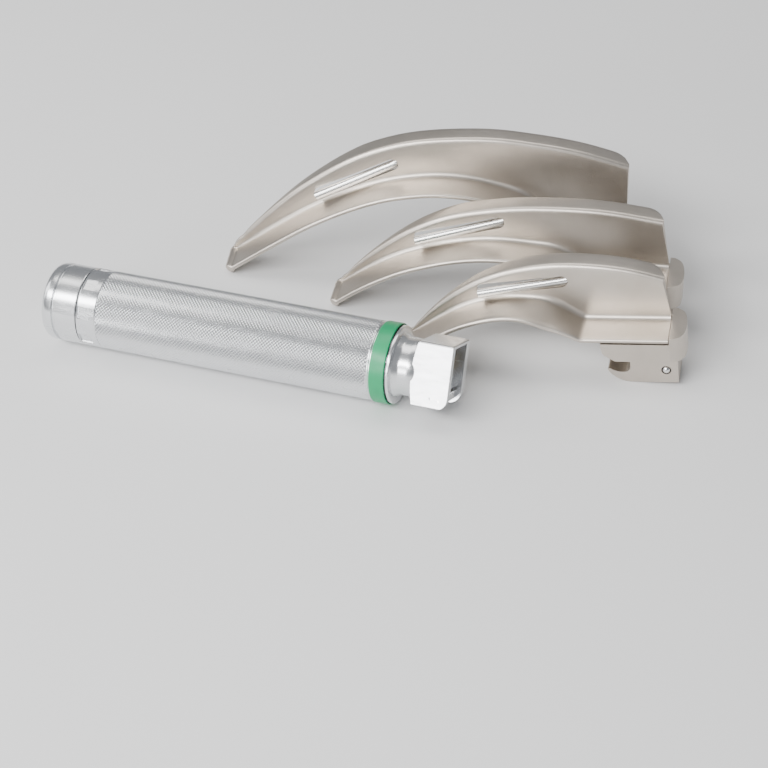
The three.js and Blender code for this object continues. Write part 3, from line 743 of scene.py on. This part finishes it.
def make_heel(spec, matrix):
    """The block at the heel: a rounded body under the spatula and a hooked tongue."""
    upper_top = SPATULA_HEEL_Z - SPATULA - 0.3
    side = [(2.6, TONGUE_TOP), (2.6, upper_top), (-27.2, upper_top), (-27.05, 15), (-26.7, 12.9),
            (-26.1, 12.1), (-25.2, 11.6), (-23.8, 10.6), (-22.3, TONGUE_TOP)]
    rounded = [Vector(p) for p in ((-3, -13.4), (0, -12.2), (1.9, -9.6), (2.5, -5), (2.2, 0), (1, 4),
                                   (-1.5, 6.2))]
    end = [(p.x, p.y) for p in spline(rounded, 30)]
    upper = to_object(prism(side, -14, 7), "upper")
    plan = to_object(prism([(-30, -13.4)] + end + [(-30, 6.2)], 0, 30, "XY"), "plan")
    combine(upper, [plan], "INTERSECT")
    wall_plan = [(HEEL_END + 0.3, -13.4)] + end + [(HEEL_END + 0.3, 6.2)]
    wall = to_object(prism(wall_plan, 12, SPATULA_HEEL_Z + 0.4, "XY"), "wall")
    hook = [(-17.2, TONGUE_TOP + 1), (-17.2, 6.4), (-17.35, 5.6), (-17.8, 4.9), (-18.3, 4.5), (-18.9, 4.3),
            (-20.2, 4.2), (-21.5, 4.3), (-23, 4.85), (-24.4, 5.6), (-25, 5.65), (-25.3, 5.2), (-24.9, 4.3),
            (-23.9, 3.1), (-22.6, 2.0), (-20.9, 0.95), (-19.2, 0.3), (FRONT_CORNER, 0)]
    tongue_side = [(BACK_CORNER, 0), (BACK_CORNER, TONGUE_TOP + 1)] + hook
    tongue = to_object(prism(tongue_side, TONGUE_NEAR, TONGUE_FAR), "tongue")
    combine(upper, [wall, tongue], "UNION")
    soften(upper, 0.28, 2, 40)
    ball_bore = rod((BALL_X, -15, BALL_Z), (BALL_X, 15, BALL_Z), BALL_R + BALL_CLEARANCE, 40)
    tunnel = tube_along(spline(guide_points(spec), GUIDE_STATIONS), GUIDE_R + GUIDE_CLEARANCE, 24)
    inlet = rod((INLET_X, TONGUE_MID, -1.7), (INLET_X, TONGUE_MID, 1.3), 2.8, 48)
    cuts = [to_object(ball_bore, "bore"), to_object(tunnel, "tunnel"), to_object(inlet, "inlet")]
    combine(upper, cuts, "DIFFERENCE")
    into_place(upper, matrix)
    return flatten(smooth(upper, 40))


# ---- materials ----

BUMP_HEIGHT = 0.0001  # metres


def new_material(name):
    material = bpy.data.materials.new(name)
    material.use_nodes = True
    nodes, links = material.node_tree.nodes, material.node_tree.links
    shader = nodes["Principled BSDF"]
    return material, nodes, links, shader


def coordinates(nodes, links, scale=(1, 1, 1)):
    """Object coordinates, stretched, so grain runs along the piece."""
    where = nodes.new("ShaderNodeTexCoord")
    mapping = nodes.new("ShaderNodeMapping")
    mapping.inputs["Scale"].default_value = scale
    links.new(where.outputs["Object"], mapping.inputs["Vector"])
    return mapping.outputs["Vector"]


def noise(nodes, links, vector, scale, detail=4.0, roughness=0.55):
    texture = nodes.new("ShaderNodeTexNoise")
    texture.inputs["Scale"].default_value = scale
    texture.inputs["Detail"].default_value = detail
    texture.inputs["Roughness"].default_value = roughness
    links.new(vector, texture.inputs["Vector"])
    return texture.outputs["Fac"]


def ramp(nodes, links, value, stops):
    """A colour ramp from (position, colour or grey) stops."""
    node = nodes.new("ShaderNodeValToRGB")
    elements = node.color_ramp.elements
    while len(elements) < len(stops):
        elements.new(0.5)
    for element, (position, colour) in zip(elements, stops):
        element.position = position
        element.color = (*colour, 1) if isinstance(colour, tuple) else (colour, colour, colour, 1)
    links.new(value, node.inputs["Fac"])
    return node.outputs["Color"]


def bump(nodes, links, height, strength, shader):
    node = nodes.new("ShaderNodeBump")
    node.inputs["Strength"].default_value = strength
    node.inputs["Distance"].default_value = BUMP_HEIGHT
    links.new(height, node.inputs["Height"])
    links.new(node.outputs["Normal"], shader.inputs["Normal"])


def metal(name, dark, light, rough_low, rough_high, grain=(1, 1, 1), grain_scale=900, depth=0.06, mottle=60):
    """Metal with soft colour mottling, uneven polish and a fine grain."""
    material, nodes, links, shader = new_material(name)
    shader.inputs["Metallic"].default_value = 1.0
    plain = coordinates(nodes, links)
    stretched = coordinates(nodes, links, grain)
    patches = noise(nodes, links, plain, mottle, 3.0)
    links.new(ramp(nodes, links, patches, [(0.3, dark), (0.7, light)]), shader.inputs["Base Color"])
    polish = noise(nodes, links, stretched, grain_scale * 0.35, 5.0, 0.6)
    links.new(ramp(nodes, links, polish, [(0.25, rough_low), (0.75, rough_high)]), shader.inputs["Roughness"])
    fine = noise(nodes, links, stretched, grain_scale, 3.0, 0.6)
    bump(nodes, links, fine, depth, shader)
    return material


def plastic(name, dark, light, rough_low, rough_high, scale=400, depth=0.05):
    """Moulded material with faint mottling and an even grain."""
    material, nodes, links, shader = new_material(name)
    plain = coordinates(nodes, links)
    patches = noise(nodes, links, plain, scale * 0.2, 3.0)
    links.new(ramp(nodes, links, patches, [(0.3, dark), (0.7, light)]), shader.inputs["Base Color"])
    polish = noise(nodes, links, plain, scale * 0.5, 4.0)
    links.new(ramp(nodes, links, polish, [(0.3, rough_low), (0.7, rough_high)]), shader.inputs["Roughness"])
    fine = noise(nodes, links, plain, scale * 3, 3.0)
    bump(nodes, links, fine, depth, shader)
    return material


def glass(name):
    material, nodes, links, shader = new_material(name)
    shader.inputs["Base Color"].default_value = (0.92, 0.96, 1.0, 1)
    shader.inputs["Transmission Weight"].default_value = 0.85
    shader.inputs["IOR"].default_value = 1.5
    plain = coordinates(nodes, links)
    haze = noise(nodes, links, plain, 300, 3.0)
    links.new(ramp(nodes, links, haze, [(0.3, 0.04), (0.7, 0.12)]), shader.inputs["Roughness"])
    return material


MATERIALS = {
    "plated_chrome": metal("plated_chrome", (0.74, 0.75, 0.77), (0.80, 0.81, 0.82), 0.2, 0.3,
                           (0.25, 1, 1), 1600, 0.05, 40),
    "satin_steel": metal("satin_steel", (0.55, 0.50, 0.44), (0.645, 0.59, 0.53), 0.33, 0.46,
                         (1, 1, 1), 2600, 0.10, 55),
    "guide_steel": metal("guide_steel", (0.72, 0.71, 0.69), (0.8, 0.79, 0.77), 0.2, 0.3,
                         (1, 1, 1), 1500, 0.04),
    "polished_steel": metal("polished_steel", (0.78, 0.78, 0.78), (0.85, 0.85, 0.85), 0.08, 0.16,
                            (1, 1, 1), 1500, 0.02),
    "spring_steel": metal("spring_steel", (0.5, 0.5, 0.5), (0.62, 0.62, 0.62), 0.25, 0.4,
                          (1, 1, 1), 2000, 0.05),
    "terminal_steel": metal("terminal_steel", (0.66, 0.65, 0.62), (0.74, 0.73, 0.7), 0.25, 0.38),
    "brass": metal("brass", (0.68, 0.5, 0.25), (0.8, 0.62, 0.34), 0.2, 0.34, (0.2, 1, 1), 1800, 0.05),
    "green_ring": plastic("green_ring", (0.0, 0.27, 0.10), (0.0, 0.34, 0.13), 0.3, 0.42),
    "seal_rubber": plastic("seal_rubber", (0.012, 0.012, 0.012), (0.03, 0.03, 0.03), 0.6, 0.8),
    "nylon": plastic("nylon", (0.72, 0.7, 0.62), (0.82, 0.8, 0.73), 0.4, 0.55),
    "cell_jacket": plastic("cell_jacket", (0.02, 0.06, 0.2), (0.035, 0.09, 0.26), 0.3, 0.42),
    "bulb_glass": glass("bulb_glass"),
}


def paint(obj, slot):
    obj.data.materials.clear()
    obj.data.materials.append(MATERIALS[slot])


# ---- putting it together ----

pieces = make_handle()
for blade_size, blade_spec in BLADES.items():
    pieces.update(make_blade(blade_size, blade_spec))

for piece_name, (piece, body_name, slot_name, stands_for) in pieces.items():
    piece.name = piece_name
    piece.data.name = piece_name
    paint(piece, slot_name)
    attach(piece, body_name)
    if stands_for:
        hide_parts(*stands_for)

replaced = {node for entry in pieces.values() for node in entry[3]}
SLOT_OF = {entry["node"]: entry["material_slot"] for entry in frame["record"]["subparts"]}
for node_name, node in frame["nodes"].items():
    if node_name not in replaced:
        smooth(node, 30)
        for node_slot in node.material_slots:
            node_slot.material = MATERIALS[SLOT_OF[node_name]]


# ---- stage, camera and light, in metres ----

FLOOR_SIZE = 3
FLOOR_DROP = 0.0001  # just under the part, so the two faces never fight
LENS = 100.33  # millimetres, on a sensor 36 mm wide, from the fit to the photo
WORLD_STRENGTH = 0.36
CENTRE = (0, 0, 0)


def stage():
    bm = bmesh.new()
    bmesh.ops.create_grid(bm, x_segments=2, y_segments=2, size=FLOOR_SIZE)
    bmesh.ops.translate(bm, vec=(0, 0, -FLOOR_DROP), verts=bm.verts)
    mesh = bpy.data.meshes.new("floor")
    bm.to_mesh(mesh)
    bm.free()
    floor = bpy.data.objects.new("floor", mesh)
    bpy.context.collection.objects.link(floor)
    material, nodes, links, shader = new_material("floor")
    patches = noise(nodes, links, coordinates(nodes, links), 3, 2.0)
    links.new(ramp(nodes, links, patches, [(0.3, 0.80), (0.7, 0.83)]), shader.inputs["Base Color"])
    shader.inputs["Roughness"].default_value = 0.75
    mesh.materials.append(material)


def area_light(name, position, target, size, power, colour=(1, 1, 1)):
    light = bpy.data.lights.new(name, "AREA")
    light.shape = "RECTANGLE"
    light.size, light.size_y = size
    light.energy = power
    light.color = colour
    obj = bpy.data.objects.new(name, light)
    obj.location = position
    obj.rotation_euler = (Vector(target) - Vector(position)).to_track_quat("-Z", "Y").to_euler()
    bpy.context.collection.objects.link(obj)


def camera():
    """The photo's camera, as fitted: the three axes of its frame and its place."""
    data = bpy.data.cameras.new("camera")
    data.lens = LENS
    data.sensor_width = 36
    data.clip_start = 0.01
    obj = bpy.data.objects.new("camera", data)
    right = Vector((0.935496, 0.351045, -0.040159))
    top = Vector((-0.180748, 0.573122, 0.799287))
    back = Vector((0.303607, -0.740472, 0.599606))
    axes = Matrix((right, top, back)).transposed().to_4x4()
    place = Vector((357.64 + BUTT_X, -560.25 + AXIS_Y, 458.22)) * MM
    obj.matrix_world = Matrix.Translation(place) @ axes
    bpy.context.collection.objects.link(obj)
    bpy.context.scene.camera = obj


def world_light():
    world = bpy.data.worlds.new("studio")
    bpy.context.scene.world = world
    world.use_nodes = True
    background = world.node_tree.nodes["Background"]
    background.inputs["Color"].default_value = (0.86, 0.89, 0.93, 1)
    background.inputs["Strength"].default_value = WORLD_STRENGTH


stage()
camera()
world_light()
area_light("key", (-0.4, -0.95, 0.92), CENTRE, size=(1.4, 0.36), power=26)
area_light("top", (-0.2, 0.3, 1.2), CENTRE, size=(1.2, 0.6), power=7, colour=(1, 0.98, 0.95))
area_light("side", (-1.2, -0.2, 0.6), CENTRE, size=(0.5, 0.8), power=4)
area_light("front", (-0.24, -0.9, 0.24), (0.03, -0.05, 0.015), size=(0.34, 0.26), power=3)
